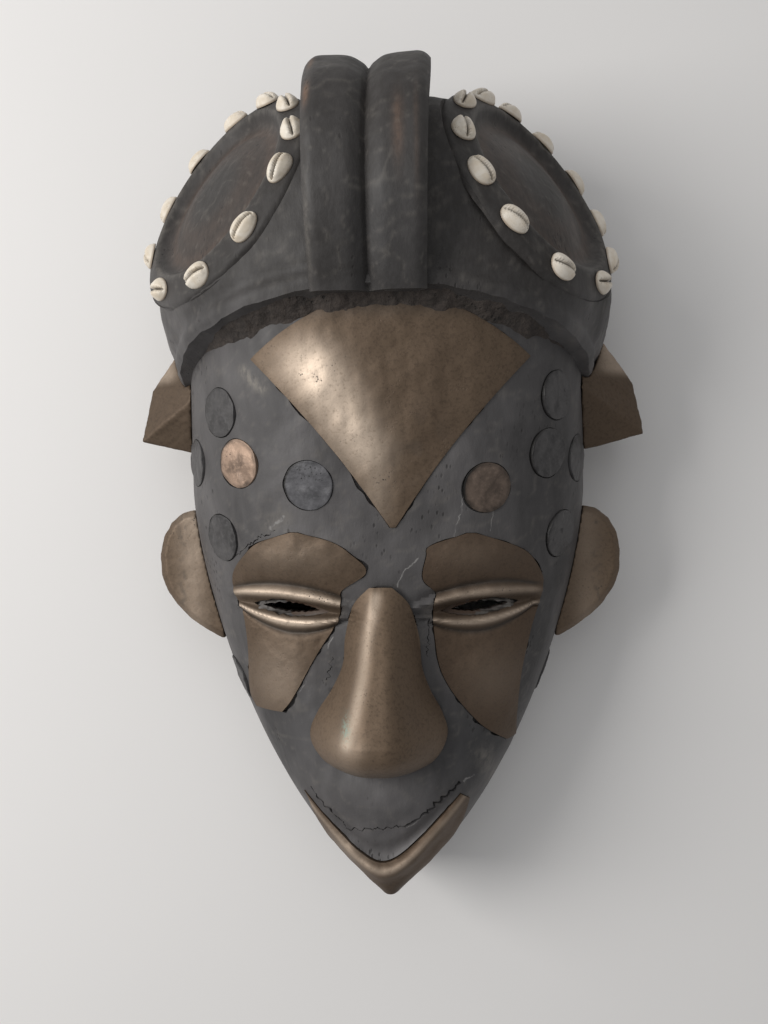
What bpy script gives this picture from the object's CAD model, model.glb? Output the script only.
"""A carved wooden face mask with inlaid brass plates, metal studs and two rings of cowrie shells.

The mask lies face up on a pale floor. X runs across the face, Y from the chin to the crown, Z out of the face.
Lengths in the shape functions are millimetres, as a carver would give them. Blender's meshes are in metres.
"""

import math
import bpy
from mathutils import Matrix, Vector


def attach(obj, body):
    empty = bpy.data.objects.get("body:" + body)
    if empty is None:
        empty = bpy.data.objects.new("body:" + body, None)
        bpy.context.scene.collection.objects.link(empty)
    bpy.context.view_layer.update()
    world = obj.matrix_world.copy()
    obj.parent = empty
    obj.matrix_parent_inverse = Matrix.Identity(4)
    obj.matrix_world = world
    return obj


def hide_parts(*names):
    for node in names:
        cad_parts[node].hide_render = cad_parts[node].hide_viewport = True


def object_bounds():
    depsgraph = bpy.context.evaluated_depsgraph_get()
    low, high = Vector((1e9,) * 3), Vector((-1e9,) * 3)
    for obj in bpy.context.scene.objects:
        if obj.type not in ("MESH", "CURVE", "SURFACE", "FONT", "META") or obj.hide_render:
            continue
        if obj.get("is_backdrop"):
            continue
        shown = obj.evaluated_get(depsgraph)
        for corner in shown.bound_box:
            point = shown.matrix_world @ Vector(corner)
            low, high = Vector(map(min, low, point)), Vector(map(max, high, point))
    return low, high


bl_info = {
    "name": "Carved face mask",
    "version": (1, 0, 0),
    "blender": (4, 5, 0),
    "location": "3D View > Sidebar > Mask",
    "description": "Builds a carved wooden face mask with inlaid brass, metal studs and cowrie shells",
    "category": "Object",
}

import bpy
import numpy as np
from bpy.props import FloatProperty, FloatVectorProperty, IntProperty, PointerProperty
from mathutils import Matrix, Vector

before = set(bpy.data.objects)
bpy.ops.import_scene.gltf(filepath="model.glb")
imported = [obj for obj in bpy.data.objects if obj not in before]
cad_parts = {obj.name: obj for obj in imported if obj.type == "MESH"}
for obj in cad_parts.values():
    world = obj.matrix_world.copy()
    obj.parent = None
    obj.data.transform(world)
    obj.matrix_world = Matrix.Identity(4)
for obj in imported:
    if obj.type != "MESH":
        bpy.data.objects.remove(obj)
CAD_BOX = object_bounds()

MM = 0.001

# Main sizes of the carving, in millimetres.
LENGTH = 486
FACE_WIDTH = 244
FACE_DEPTH = 150
CAP_WIDTH = 280
CAP_DEPTH = 164
CREST_WIDTH = 61
JAW_FLARE = 10
NOSE_RISE = 46
WALL = 14
PLATE_THICKNESS = 2.4
PLATE_PROUD = 0.8
BED = 1
SLIT_LENGTH = 33
SLIT_HEIGHT = 5
LID_OPENING_LENGTH = 45
LID_OPENING_HEIGHT = 9.5
STUD_DIAMETER = 27.7
STUD_THICKNESS = 2.2
STUD_PROUD = 0.7
STUD_SUNK = 0.4
STUD_GAP = 0.3
STUD_HOLE = 14
STUD_RINGS = ((1.2, 0.14), (1.6, 0.1), (2.4, 0.12), (2.6, 0.08), (2.6, 0.04))  # inset and rise of each
MEDALLION_DIAMETER = 143
MEDALLION_RIM = 19
RIM_TOP = 4
RIM_SLOPE = math.radians(25)
RIM_CIRCLE = MEDALLION_DIAMETER / 2 - 0.42 * MEDALLION_RIM
SHELL_LENGTH = 19
SHELL_WIDTH = 14
SHELL_RISE = 6.2
TOOTH_PITCH = 1.45
NAIL_NOTCH_WIDTH = 26
NAIL_NOTCH_HEIGHT = 18
BELOW_RIM = 20  # how far the forms reach below the back rim before they are cut level

# Places as shares of the length from the chin (s) and of the face's half width (x).
HALF = FACE_WIDTH / 2
CHIN_Y = -LENGTH / 2
TEMPLE = 0.5
SECTION_POWER = 2.3
CAP_BOTTOM = 0.6
CAP_FULLEST = 0.726
CAP_TOP = 0.965
FACE_TOP = 0.93
CHIN_POWER = 1.54
FOOT = 36
EYE_X, EYE_S, EYE_HALF_LENGTH, EYE_HALF_HEIGHT, EYE_TILT = 0.442, 0.358, 0.262, 0.026, 0.25
NOSE_TOP, NOSE_TIP, NOSE_BASE, NOSE_HALF_BASE = 0.383, 0.212, 0.165, 0.327
MOUTH_X, MOUTH_S, MOUTH_CORNER, MOUTH_SLOPE, MOUTH_ROUND = -4, -0.0012, 0.377, 1.24, 20

SIDES = {"left": -1, "right": 1}
STUDS = {
    "left": [(0.326, 0.5), (0.661, 0.527), (0.751, 0.587), (0.915, 0.532), (0.774, 0.441), (0.75, 0.263)],
    "right": [(0.473, 0.495), (0.765, 0.535), (0.809, 0.602), (0.93, 0.532), (0.839, 0.441), (0.8, 0.264)],
}
COPPER_STUDS = ("left_stud_2", "right_stud_1")
SHELLS = {
    "left": (3, 41, 77, 110, 136, 164, 192, 221, 253, 285, 318),
    "right": (0, 40, 75, 103, 130, 160, 188, 213, 240, 268, 295, 326),
}
# Each eye plate's share of the length, inner edge and outer edge.
EYE_PLATES = {
    "left": [
        (0.231, 0.5, 0.65), (0.246, 0.452, 0.68), (0.303, 0.321, 0.668), (0.345, 0.212, 0.68), (0.368, 0.199, 0.713),
        (0.38, 0.19, 0.729), (0.401, 0.077, 0.718), (0.423, 0.149, 0.642), (0.436, 0.23, 0.569), (0.447, 0.385, 0.42),
    ],
    "right": [
        (0.189, 0.575, 0.628), (0.22, 0.427, 0.623), (0.277, 0.267, 0.643), (0.33, 0.228, 0.69), (0.362, 0.228, 0.73),
        (0.375, 0.24, 0.743), (0.392, 0.181, 0.741), (0.419, 0.198, 0.671), (0.43, 0.214, 0.592), (0.444, 0.38, 0.42),
    ],
}


# Settings that a user would change.


def length(label, about, value, **more):
    return FloatProperty(name=label, description=about, default=value, min=0, unit="LENGTH", precision=5, **more)


def colour(label, about, value):
    return FloatVectorProperty(name=label, description=about, default=value, size=3, min=0, max=1, subtype="COLOR")


class CarvingSettings(bpy.types.PropertyGroup):
    """Fineness and wear of the carving"""

    tool_marks: length("Tool marks", "Depth of the low waves that the gouge left", 0.0005)
    seam: length("Seam", "Narrowest gap between a plate and the wood", 0.00018)
    ragged_seam: length("Ragged seam", "How much wider a seam breaks open in places", 0.0008)
    lid_crease: length("Lid crease", "Depth of the crease round the eyelids", 0.0016)
    cleft: length("Crest cleft", "Depth of the cleft between the two rolls of the crest", 0.0022)
    dents: length("Dents", "Depth of the dents in the brass", 0.00022)
    columns: IntProperty(name="Face columns", description="Mesh columns across the face", default=190, min=40, max=260)
    rows: IntProperty(name="Face rows", description="Mesh rows from chin to brim", default=215, min=40, max=280)


class FinishSettings(bpy.types.PropertyGroup):
    """Colours of the wood, metals and shells"""

    wood_dark: colour("Dark wood", "Blackened wood in its darkest patches", (0.036, 0.0335, 0.0335))
    wood_light: colour("Grey wood", "Blackened wood where the wax has dulled", (0.112, 0.105, 0.105))
    wood_worn: colour("Worn wood", "Brown wood laid bare by wear", (0.13, 0.078, 0.052))
    brass_dull: colour("Dull brass", "Tarnished brass", (0.135, 0.094, 0.062))
    brass_rubbed: colour("Rubbed brass", "Brass rubbed bright", (0.68, 0.555, 0.44))
    brass_brown: colour("Brown brass", "Brass tarnished brown", (0.086, 0.056, 0.036))
    copper: colour("Copper", "Tarnished copper of two studs", (0.43, 0.3, 0.22))
    shell: colour("Shell", "Cowrie shell", (0.66, 0.57, 0.45))


class StageSettings(bpy.types.PropertyGroup):
    """Floor, light and camera"""

    floor: colour("Floor", "Colour of the pale floor", (0.8, 0.785, 0.77))
    key_power: FloatProperty(
        name="Key light", description="Power of the soft light at upper left", default=17, min=0, unit="POWER"
    )
    sky: FloatProperty(name="Sky", description="Strength of the light from all round", default=0.34, min=0)
    lens: FloatProperty(name="Lens", description="Focal length of the camera", default=35, min=10, unit="CAMERA")


def settings():
    return bpy.context.scene.mask_carving, bpy.context.scene.mask_finish


# Shape functions. Each takes arrays and gives arrays.


def through(stations):
    """A smooth value through (place, value) stations, level beyond both ends."""
    places, values = np.array(stations, float).T
    last = len(places) - 1
    before = np.maximum(np.arange(last + 1) - 1, 0)
    after = np.minimum(np.arange(last + 1) + 1, last)
    slopes = (values[after] - values[before]) / (places[after] - places[before])

    def value(place):
        p = np.clip(place, places[0], places[-1])
        i = np.clip(np.searchsorted(places, p, side="right") - 1, 0, last - 1)
        width = places[i + 1] - places[i]
        t = (p - places[i]) / width
        ease = t * t * (3 - 2 * t)
        bend = slopes[i] * t * (1 - t) ** 2 + slopes[i + 1] * t * t * (t - 1)
        return values[i] + (values[i + 1] - values[i]) * ease + bend * width

    return value


def swell(*offsets):
    return np.exp(-sum(np.square(offset) for offset in offsets))


def smooth(low, high, value):
    t = np.clip((value - low) / (high - low), 0, 1)
    return t * t * (3 - 2 * t)


def signed_power(value, power):
    return np.sign(value) * np.abs(value) ** power


def lerp(a, b, t):
    return a + (b - a) * t


def stack(*parts):
    return np.stack(np.broadcast_arrays(*[np.asarray(part, float) for part in parts]), axis=-1)


def unit(vectors):
    return vectors / np.maximum(np.linalg.norm(vectors, axis=-1, keepdims=True), 1e-12)


def ripples(points, size, seed):
    """Gentle uneven waves of about the given size, mostly from -1 to 1."""
    chance = np.random.default_rng(seed)
    total = 0
    for _ in range(14):
        direction = unit(chance.normal(size=points.shape[-1]))
        pace = chance.uniform(0.55, 1.7)
        total = total + np.sin(points @ direction * pace * 2 * np.pi / size + chance.uniform(0, 6.28))
    return total / 3.8


def waves(points, *layers):
    """Ripples of several (strength, size, seed) layers together."""
    return sum(strength * ripples(points, size, seed) for strength, size, seed in layers)


def tool_marks(points, *layers):
    carving, _ = settings()
    return waves(points, *layers) * carving.tool_marks / MM


def y_at(s):
    return CHIN_Y + np.asarray(s, float) * LENGTH


def s_at(y):
    return (y - CHIN_Y) / LENGTH


face_height = through([
    (0, 0.53), (0.02, 0.57), (0.07, 0.63), (0.16, 0.7), (0.29, 0.755), (0.4, 0.82),
    (0.5, 0.91), (0.62, 0.99), (0.74, 1), (0.85, 0.9), (0.93, 0.6),
])
nose_half = through([
    (NOSE_BASE, 0.5), (0.178, 0.8), (0.207, 1), (0.235, 0.9), (0.26, 0.715),
    (0.29, 0.565), (0.325, 0.52), (0.365, 0.39), (NOSE_TOP, 0.3),
])
crest_reach = through([
    (-0.3, 0.274), (0, 0.274), (0.38, 0.292), (0.67, 0.322), (1, 0.335), (1.31, 0.316), (1.66, 0.262),
])
lip_turn = through([(0, 0), (0.3, 0.95), (0.55, 1.2), (0.8, 1.02), (1, 0.82)])


def face_half_width(s):
    t = np.clip(np.asarray(s, float) / TEMPLE, 0, 1)
    chin = (1 - (1 - t) ** CHIN_POWER) ** (1 / CHIN_POWER)
    crown = np.clip((s - CAP_FULLEST) / (CAP_TOP - CAP_FULLEST), 0, 1)
    half = HALF * chin * np.sqrt(1 - crown * crown)
    return np.hypot(half, 7 * swell(s / 0.01))


def nose_middle(s):
    return -1.5 - 3.5 * np.clip((0.3 - s) / 0.1, 0, 1)


def nose_rise(x, s):
    across = np.abs(x - nose_middle(s)) / (nose_half(s) * NOSE_HALF_BASE * HALF)
    climb = np.where(s > NOSE_TIP, (NOSE_TOP - s) / (NOSE_TOP - NOSE_TIP), 1)
    under = np.clip(np.where(s < NOSE_TIP, (NOSE_TIP - s) / (NOSE_TIP - NOSE_BASE), 0), 0, 1)
    fall = 1 - np.clip((across - 0.12) / 0.88, 0, 1) ** 1.9
    rise = NOSE_RISE * (0.06 + 0.94 * climb) * np.sqrt(1 - under * under) * fall
    return np.where((across >= 1) | (s <= NOSE_BASE) | (s >= NOSE_TOP), 0, rise)


def eye_place(x, s):
    along = (np.abs(x) / HALF - EYE_X) / EYE_HALF_LENGTH
    up = (s - EYE_S) / EYE_HALF_HEIGHT - EYE_TILT * along
    bend = np.where(up > 0, 0.35, 0.75)
    return along, up, np.abs(up) / np.maximum(1 - bend * along * along, 0.3)


def eye_rise(x, s):
    along, up, lens = eye_place(x, s)
    brow = 5 * swell(along * 0.8, (up - 2.2) / 1.2)
    socket = -6 * swell(along * 0.85, up / 1.8)
    within = smooth(1.5, 1.05, np.abs(along))
    lids = 4.2 * swell(along * 0.75, (lens - 0.62) / 0.27) * within
    hollow = -3 * swell(along * 0.9, lens / 0.35) * within
    cheek = -4 * swell((np.abs(x) / HALF - 0.25) / 0.14, (s - 0.27) / 0.06)
    return brow + socket + lids + hollow + cheek


def lip_line(x):
    return MOUTH_S + np.hypot(MOUTH_SLOPE * (x - MOUTH_X), MOUTH_ROUND) / LENGTH


def mouth_rise(x, s):
    reach = swell(np.abs(x / (1.05 * MOUTH_CORNER * HALF)) ** 3)
    inside = (s - lip_line(x)) * LENGTH
    lip = 6 * swell((inside + 2) / 6)
    groove = -2.5 * swell((inside - 10) / 6)
    mound = 6 * swell(x / (0.28 * HALF), (s - 0.13) / 0.03)
    return reach * (lip + groove) + mound


def carved(x, s):
    return eye_rise(x, s) + mouth_rise(x, s)


def plain(x, s):
    return 0 * (x + s)


def finely_carved(x, s):
    """The carving with its tool marks and the crisp creases of the lids."""
    carving, _ = settings()
    along, _, lens = eye_place(x, s)
    within = smooth(1.3, 1.0, np.abs(along))
    crease = -swell((lens - 1.12) / 0.17) * within * carving.lid_crease / MM
    edge = 0.9 * swell((lens - 0.6) / 0.16) * within
    marks = tool_marks(stack(x, y_at(s)), (0.7, 38, 3), (0.35, 15, 4), (0.12, 6, 5))
    return carved(x, s) + crease + edge + marks


def with_nose(x, s):
    return carved(x, s) + nose_rise(x, s)


def fine_nose(x, s):
    """The nose with its flat ridge and the creases behind its wings."""
    half = nose_half(s) * NOSE_HALF_BASE * HALF
    off = (x - nose_middle(s)) / half
    crease = -2.6 * swell((np.abs(off) - 0.6) / 0.13, (s - 0.236) / 0.022)
    wing = 1.6 * swell((np.abs(off) - 0.8) / 0.24, (s - 0.2) / 0.024)
    ridge = 0.5 * swell((off + 0.35) / 0.13) * smooth(0.2, 0.26, s)
    low = smooth(0.165, 0.19, s)
    tip = -2.2 * swell((s - NOSE_TIP) / 0.014) * (np.abs(off) < 1)
    return with_nose(x, s) + (crease + wing + ridge) * low + tip


def face_point(angle, s, grow=0.0, rise=carved):
    half = np.maximum(face_half_width(s) + grow, 0.5)
    height = np.maximum(FACE_DEPTH * face_height(s) + grow, 1)
    foot = np.minimum(FOOT, 0.6 * height)
    x = half * signed_power(np.cos(angle), 2 / SECTION_POWER)
    climb = np.abs(np.sin(angle))
    z = foot + (height - foot) * climb ** (2 / SECTION_POWER)
    return stack(x, y_at(s), z + rise(x, s) * climb)


def angle_at(x, s):
    share = np.clip(x / np.maximum(face_half_width(s), 0.5), -0.999, 0.999)
    return np.arccos(signed_power(share, SECTION_POWER / 2))


def off_face(angle, s, out, rise=carved):
    """The point that stands the given distance out of the carved face."""
    step = 0.003
    across = face_point(angle - step, s, 0, rise) - face_point(angle + step, s, 0, rise)
    along = face_point(angle, s + step, 0, rise) - face_point(angle, s - step, 0, rise)
    normal = unit(np.cross(across, along))
    return face_point(angle, s, 0, rise) + normal * np.broadcast_to(out, angle.shape)[..., None]


def cap_point(angle, s, grow=0.0):
    t = np.clip((s - CAP_FULLEST) / (CAP_TOP - CAP_FULLEST), 0, 1)
    flare = np.clip((CAP_FULLEST - s) / (CAP_FULLEST - CAP_BOTTOM), 0, 1)
    half = np.maximum(CAP_WIDTH / 2 * (1 - t ** 2.6) ** (1 / 2.6) * (1 - 0.16 * flare ** 1.5) + grow, 1)
    height = np.maximum(CAP_DEPTH * (1 - t ** 4) ** 0.25 + grow, 1)
    foot = np.minimum(FOOT, 0.5 * height)
    x = half * signed_power(np.cos(angle), 2 / SECTION_POWER)
    return stack(x, y_at(s), foot + (height - foot) * np.abs(np.sin(angle)) ** (2 / SECTION_POWER))


def brim_y(x, z):
    """Where the cap's arched lower edge runs."""
    fall = np.sin(np.pi / 2 * np.clip(np.abs(x) / (CAP_WIDTH / 2), 0, 1)) ** 2
    return y_at(0.712) - 0.02 * LENGTH * fall + 0.32 * (z - CAP_DEPTH)


# Places of the inlaid plates: an angle and a share of the length for u and v, grown by a margin.


def end_of(v):
    return np.where(v < 1e-6, -1.0, np.where(v > 1 - 1e-6, 1.0, 0.0))


def forehead_place(u, v, margin):
    across = lerp(-1, 1, u)
    grow = margin / LENGTH
    s = lerp(0.452 - 2 * grow, 0.705 - 0.063 * across**2 + grow, v)
    half = np.maximum(0.622 * HALF * (0.02 + 0.98 * v) - 4 * np.sin(np.pi * v), 1)
    return angle_at(6 + across * (half + 1.4 * margin), s), s


def eye_plate_place(name):
    side, stations = SIDES[name], EYE_PLATES[name]
    inner = through([(s, edge) for s, edge, _ in stations])
    outer = through([(s, edge) for s, _, edge in stations])

    def place(u, v, margin):
        within = lerp(stations[0][0], stations[-1][0], v)
        s = within + end_of(v) * margin / LENGTH
        edge = HALF * lerp(inner(within), outer(within), u) + lerp(-1, 1, u) * 2.5 * margin
        return angle_at(side * edge, s), s

    return place


def nose_place(u, v, margin):
    s = lerp(NOSE_BASE + 0.002, NOSE_TOP - 0.001, v)
    rounding = np.sqrt(1 - 0.75 * np.clip(v * 8 - 7, 0, 1) ** 2)
    half = nose_half(s) * NOSE_HALF_BASE * HALF * 0.97 * rounding
    place = s + end_of(v) * margin / LENGTH
    return angle_at(nose_middle(s) - np.cos(np.pi * u) * (half + margin), place), place


def lip_place(u, v, margin):
    arm = lerp(-1, 1, u)
    spare = 2.5 * margin
    x = MOUTH_X + arm * (MOUTH_CORNER * HALF + spare)
    inner = lip_line(x) + (3.5 + spare) / LENGTH
    outer = np.maximum(0.0012 + 0.121 * arm * arm - spare / LENGTH, 0.0006)
    turn = np.sign(arm) * lip_turn(np.abs(arm)) + arm * spare / face_half_width(outer)
    return lerp(np.pi / 2 - turn, angle_at(x, inner), v), lerp(outer, inner, v)


# Mesh tools.


def only(piece):
    """Selects one object and nothing else."""
    bpy.ops.object.select_all(action="DESELECT")
    piece.select_set(True)
    bpy.context.view_layer.objects.active = piece


def added(add, name, **values):
    """A new primitive, alone in the selection."""
    bpy.ops.object.select_all(action="DESELECT")
    add(**values)
    piece = bpy.context.active_object
    piece.name = name
    return piece


def edit_all(piece, step, **values):
    """Runs one mesh step on the whole of a piece."""
    only(piece)
    bpy.ops.object.mode_set(mode="EDIT")
    bpy.ops.mesh.select_all(action="SELECT")
    step(**values)
    bpy.ops.object.mode_set(mode="OBJECT")


def copy_of(pattern, name):
    piece = pattern.copy()
    piece.data = pattern.data.copy()
    piece.name = name
    bpy.context.scene.collection.objects.link(piece)
    return piece


def points_of(piece):
    found = np.empty(len(piece.data.vertices) * 3)
    piece.data.vertices.foreach_get("co", found)
    return found.reshape(-1, 3) / MM


def move_points(piece, points):
    piece.data.vertices.foreach_set("co", (np.asarray(points) * MM).ravel())
    piece.data.update()


def normals_of(piece):
    found = np.empty(len(piece.data.vertices) * 3)
    piece.data.vertex_normals.foreach_get("vector", found)
    return found.reshape(-1, 3)


def volume_of(piece):
    piece.data.calc_loop_triangles()
    corners = np.empty(len(piece.data.loop_triangles) * 3, np.int32)
    piece.data.loop_triangles.foreach_get("vertices", corners)
    a, b, c = points_of(piece)[corners.reshape(-1, 3).T]
    return np.einsum("ij,ij->", a, np.cross(b, c)) / 6


def close_up(piece):
    """Merges the points of seams and poles, and turns the faces outwards."""
    edit_all(piece, bpy.ops.mesh.remove_doubles, threshold=2e-7)
    if volume_of(piece) < 0:
        edit_all(piece, bpy.ops.mesh.flip_normals)
    return piece


def sheet(name, over, under, columns, rows):
    """A grid, extruded into a closed sheet, whose two skins are pulled to their shapes for u and v from 0 to 1."""
    piece = added(bpy.ops.mesh.primitive_grid_add, name, x_subdivisions=columns, y_subdivisions=rows, size=1)
    edit_all(piece, bpy.ops.mesh.extrude_region_move, TRANSFORM_OT_translate={"value": (0, 0, 1)})
    grid = points_of(piece) * MM
    u, v = np.clip(grid[:, 0] + 0.5, 0, 1), np.clip(grid[:, 1] + 0.5, 0, 1)
    upper = grid[:, 2] > 0.5
    points = np.empty_like(grid)
    points[upper] = over(u[upper], v[upper])
    points[~upper] = under(u[~upper], v[~upper])
    move_points(piece, points)
    return close_up(piece)


def turned(name, profile, segments, wobble=None):
    """A ball whose rings are pulled to a turned profile of (radius, height), from top middle to bottom middle."""
    profile = np.array(profile, float)
    rings = len(profile) - 1
    piece = added(bpy.ops.mesh.primitive_uv_sphere_add, name, segments=segments, ring_count=rings, radius=1)
    ball = points_of(piece) * MM
    ring = np.rint(np.arccos(np.clip(ball[:, 2], -1, 1)) / np.pi * rings).astype(int)
    around = np.arctan2(ball[:, 1], ball[:, 0])
    radius, height = profile[ring].T
    if wobble:
        radius, height = wobble(radius, height, around)
    move_points(piece, stack(radius * np.cos(around), height, -radius * np.sin(around)))
    return close_up(piece)


def finer(profile, count):
    """More points along a profile, evenly spaced."""
    profile = np.array(profile, float)
    steps = np.r_[0, np.cumsum(np.linalg.norm(np.diff(profile, axis=0), axis=1))]
    places = np.linspace(0, steps[-1], count)
    return np.stack([np.interp(places, steps, column) for column in profile.T], axis=-1)


def placed(piece, matrix):
    """Puts a piece in its place by its mesh, and leaves its object at the origin."""
    piece.data.transform(matrix)
    piece.data.update()
    return piece


def fitted(piece, tool, how):
    """Joins the tool's solid to the piece, or cuts it out, and clears the tool away."""
    only(piece)
    change = piece.modifiers.new("fit", "BOOLEAN")
    change.operation, change.solver, change.object = how, "MANIFOLD", tool
    before, label = len(piece.data.vertices), tool.name
    bpy.ops.object.modifier_apply(modifier=change.name)
    bpy.data.objects.remove(tool, do_unlink=True)
    if len(piece.data.vertices) == before:
        raise RuntimeError(f"{piece.name}: {label} did not meet it")
    return piece


def largest_part(piece):
    """Drops every loose splinter and keeps the body they came off."""
    edit_all(piece, bpy.ops.mesh.separate, type="LOOSE")
    parts = sorted(bpy.context.selected_objects, key=lambda part: len(part.data.vertices))
    if parts[-1] is not piece:
        piece.data, parts[-1].data = parts[-1].data, piece.data
    for part in parts:
        if part is not piece:
            bpy.data.objects.remove(part, do_unlink=True)


def applied(piece, kind, **values):
    only(piece)
    change = piece.modifiers.new(kind.lower(), kind)
    for key, value in values.items():
        setattr(change, key, value)
    bpy.ops.object.modifier_apply(modifier=change.name)
    return piece


def shaded(piece, degrees=35):
    only(piece)
    bpy.ops.object.shade_smooth_by_angle(angle=math.radians(degrees))
    return piece


def marked(piece, **masks):
    """Stores masks over the surface, from 0 to 1, for the piece's finish."""
    count = len(piece.data.vertices)
    for name, values in masks.items():
        layer = piece.data.attributes.new(name, "FLOAT", "POINT")
        layer.data.foreach_set("value", np.clip(np.broadcast_to(values, count), 0, 1).astype(np.float32))


def finish_piece(piece, material, slot, *nodes):
    piece.data.materials.clear()
    piece.data.materials.append(material)
    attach(piece, "root")
    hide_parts(*nodes)
    return piece


# Finishes.


def join(tree, value, socket):
    """Sets a socket, or links it where the value is another node's output."""
    if isinstance(value, bpy.types.NodeSocket):
        tree.links.new(value, socket)
    else:
        socket.default_value = value


def wire(tree, kind, inputs=None, **values):
    """Adds a node, sets its values and joins its inputs."""
    made = tree.nodes.new(kind)
    for key, value in values.items():
        setattr(made, key, value)
    for key, value in (inputs or {}).items():
        join(tree, value, made.inputs[key])
    return made


def mixed(tree, share, first, second):
    first, second = (tint if isinstance(tint, bpy.types.NodeSocket) else (*tint, 1) for tint in (first, second))
    return wire(tree, "ShaderNodeMix", {0: share, 6: first, 7: second}, data_type="RGBA").outputs[2]


def maths(tree, how, first, second=0.0, clamp=False):
    return wire(tree, "ShaderNodeMath", {0: first, 1: second}, operation=how, use_clamp=clamp).outputs[0]


def times(tree, first, second, clamp=False):
    return maths(tree, "MULTIPLY", first, second, clamp)


def vector_maths(tree, how, first, second=None):
    """A vector, or a number for a dot product or a length."""
    inputs = {0: first}
    if second is not None:
        inputs["Scale" if how == "SCALE" else 1] = second
    made = wire(tree, "ShaderNodeVectorMath", inputs, operation=how)
    return made.outputs["Value" if how in ("DOT_PRODUCT", "LENGTH") else "Vector"]


def noise(tree, vector, scale, detail, roughness=0.5, distortion=0.0):
    inputs = {"Vector": vector, "Scale": scale, "Detail": detail, "Roughness": roughness, "Distortion": distortion}
    return wire(tree, "ShaderNodeTexNoise", inputs).outputs


def ranged(tree, value, low, high, to_low=0.0, to_high=1.0, how="SMOOTHSTEP"):
    inputs = {0: value, 1: low, 2: high, 3: to_low, 4: to_high}
    return wire(tree, "ShaderNodeMapRange", inputs, interpolation_type=how).outputs[0]


def mask(tree, name):
    return wire(tree, "ShaderNodeAttribute", attribute_name=name).outputs["Fac"]


def layered(tree, base, *layers):
    """Lays (share, strength, colour) layers over a base colour, one on the other."""
    for share, strength, tint in layers:
        base = mixed(tree, share if strength == 1 else times(tree, share, strength), base, tint)
    return base


def shade(tint, share):
    return tuple(share * c for c in tint)


def between(first, second, share):
    return tuple(lerp(np.array(first), np.array(second), share).tolist())


def new_group(name, inputs, outputs):
    """A node group with number inputs, or vectors where no value is given."""
    tree = bpy.data.node_groups.new(name, "ShaderNodeTree")
    for label, value in inputs.items():
        kind = "NodeSocketVector" if value is None else "NodeSocketFloat"
        socket = tree.interface.new_socket(label, in_out="INPUT", socket_type=kind)
        if value is not None:
            socket.default_value = value
    for label in outputs:
        tree.interface.new_socket(label, in_out="OUTPUT", socket_type="NodeSocketFloat")
    return tree, tree.nodes.new("NodeGroupInput").outputs, tree.nodes.new("NodeGroupOutput").inputs


def weathering():
    """Patches, fine grain and pits that every old surface of the mask shares."""
    scales = {"Vector": None, "Patch Scale": 22.0, "Grain Scale": 420.0, "Pit Scale": 700.0}
    tree, given, out = new_group("Weathering", scales, ("Patches", "Grain", "Pits", "Height"))
    place, patch, grain, pit = (given[k] for k in range(4))
    fine = noise(tree, place, grain, 3.0, 0.65)["Fac"]
    pits = wire(tree, "ShaderNodeTexVoronoi", {"Vector": place, "Scale": pit, "Randomness": 1.0})
    thin = noise(tree, place, times(tree, pit, 0.11), 2.0)["Fac"]
    holes = times(tree, ranged(tree, pits.outputs["Distance"], 0.32, 0.12), ranged(tree, thin, 0.55, 0.68))
    results = noise(tree, place, patch, 4.0, 0.6, 0.4)["Fac"], fine, holes, maths(tree, "SUBTRACT", fine, holes)
    for k, result in enumerate(results):
        tree.links.new(result, out[k])
    return tree


def hairline():
    """A thin wandering line between two points, seen from the front."""
    ends = {"Vector": None, "Start": None, "End": None, "Width": 0.0005}
    tree, given, out = new_group("Hairline", ends, ("Line",))
    place, start, end, width = (given[k] for k in range(4))
    shift = vector_maths(tree, "SUBTRACT", noise(tree, place, 160.0, 3.0)["Color"], (0.5, 0.5, 0.5))
    moved = vector_maths(tree, "ADD", place, vector_maths(tree, "SCALE", shift, 0.005))
    level = vector_maths(tree, "MULTIPLY", moved, (1, 1, 0))
    reach = vector_maths(tree, "SUBTRACT", end, start)
    from_start = vector_maths(tree, "SUBTRACT", level, start)
    ahead = vector_maths(tree, "DOT_PRODUCT", from_start, reach)
    along = maths(tree, "DIVIDE", ahead, vector_maths(tree, "DOT_PRODUCT", reach, reach), clamp=True)
    gap = vector_maths(tree, "SUBTRACT", from_start, vector_maths(tree, "SCALE", reach, along))
    apart = vector_maths(tree, "LENGTH", gap)
    tree.links.new(ranged(tree, apart, width, times(tree, width, 0.4), how="LINEAR"), out[0])
    return tree


def new_finish(name, patch, grain, pit, stretch=(1, 1, 1)):
    """A new material with its weathering: gives material, tree, shader, weathering outputs and the position."""
    material = bpy.data.materials.new(name)
    material.use_nodes = True
    tree = material.node_tree
    place = wire(tree, "ShaderNodeTexCoord").outputs["Object"]
    stretched = wire(tree, "ShaderNodeMapping", {"Vector": place, "Scale": stretch}).outputs[0]
    group = bpy.data.node_groups.get("Weathering") or weathering()
    inputs = {"Vector": stretched, "Patch Scale": patch, "Grain Scale": grain, "Pit Scale": pit}
    worn = wire_group(tree, group, inputs)
    return material, tree, tree.nodes["Principled BSDF"], worn, place


def wire_group(tree, group, inputs):
    made = wire(tree, "ShaderNodeGroup", node_tree=group)
    for key, value in inputs.items():
        join(tree, value, made.inputs[key])
    return made.outputs


def surfaced(tree, shader, worn, base, rough, strength, distance):
    """Joins colour, roughness and the finest relief to the shader."""
    join(tree, base, shader.inputs["Base Color"])
    join(tree, rough, shader.inputs["Roughness"])
    bump = wire(tree, "ShaderNodeBump", {"Height": worn["Height"], "Strength": strength, "Distance": distance})
    tree.links.new(bump.outputs[0], shader.inputs["Normal"])


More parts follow.
